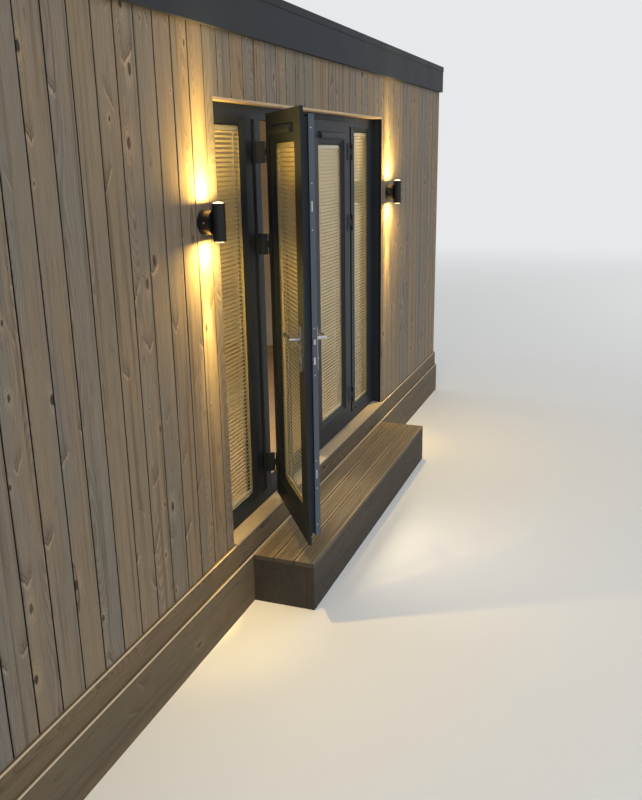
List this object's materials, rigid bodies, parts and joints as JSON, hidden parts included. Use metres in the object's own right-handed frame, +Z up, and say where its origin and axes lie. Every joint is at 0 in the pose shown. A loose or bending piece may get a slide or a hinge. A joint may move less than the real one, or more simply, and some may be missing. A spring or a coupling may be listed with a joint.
{
  "type": "garden office pod",
  "caption": "Timber-clad garden office pod with a flat roof, outward glazed doors between sidelights, wall lamps and a low deck step.",
  "frame": {"origin": "on the ground under the middle of the clad body, on the underside of the middle ground bearer", "axes": "+X to the right seen from the front, along the long side; the doors face -Y; +Z up"},
  "size_m": [6.376, 3.9827, 2.989],
  "materials": {
    "cladding_timber": "weathered vertical softwood boards",
    "plinth_timber": "weathered horizontal softwood boards",
    "pale_timber": "oiled timber lining",
    "cill": "smooth pale cill board",
    "floor_finish": "oak-look floor boards",
    "panel": "painted insulated panels",
    "bearer_timber": "treated ground bearers",
    "frame": "anthracite frames with a satin grain",
    "hinge_metal": "anthracite hinges",
    "fascia": "anthracite fascia boards",
    "roof_trim": "dark edge trim",
    "membrane": "rubber roof membrane",
    "glazing": "clear sealed units",
    "blind": "cream venetian blinds",
    "handle": "satin lever handles",
    "lamp_metal": "black powder coat",
    "lamp_lens": "warm glowing lenses",
    "deck": "ribbed brown-grey deck boards",
    "deck_timber": "dark stained deck frame"
  },
  "bodies": {
    "pod": {"ground_bearers": "bearer_timber", "floor_panel": "panel", "floor_boards": "floor_finish", "front_wall_left": "panel", "front_wall_right": "panel", "front_wall_head": "panel", "left_wall": "panel", "right_wall": "panel", "back_wall": "panel", "roof_panel": "panel", "roof_membrane": "membrane", "roof_edge_trim": "roof_trim", "front_cladding": "cladding_timber", "left_cladding": "cladding_timber", "right_cladding": "cladding_timber", "back_cladding": "cladding_timber", "front_fascia": "fascia", "back_fascia": "fascia", "side_fascias": "fascia", "front_plinth": "plinth_timber", "back_plinth": "plinth_timber", "side_plinths": "plinth_timber", "head_lining": "pale_timber", "frame_posts": "frame", "frame_rails": "frame", "cill_board": "cill", "sidelight_glass": "glazing", "sidelight_blinds": "blind", "frame_hinges": "hinge_metal", "wall_lamps": "lamp_metal", "lamp_lenses": "lamp_lens", "deck_boards": "deck", "deck_frame": "deck_timber"},
    "left_door": {"left_door_stiles": "frame", "left_door_rails": "frame", "left_door_glass": "glazing", "left_door_blind": "blind", "left_door_vent": "frame", "left_door_handles": "handle", "left_door_hinges": "hinge_metal"},
    "right_door": {"right_door_stiles": "frame", "right_door_rails": "frame", "right_door_glass": "glazing", "right_door_blind": "blind", "right_door_vent": "frame", "right_door_hinges": "hinge_metal"}
  },
  "joints": [
    {"name": "left_door_hinge", "type": "hinge", "parent": "pod", "child": "left_door", "pos_m": [-0.7135, -1.718, 1.4], "axis": [0, 0, 1], "range_deg": [-5.5, 144.5]},
    {"name": "right_door_hinge", "type": "hinge", "parent": "pod", "child": "right_door", "pos_m": [0.7135, -1.718, 1.4], "axis": [0, 0, 1], "range_deg": [0, 150]}
  ]
}
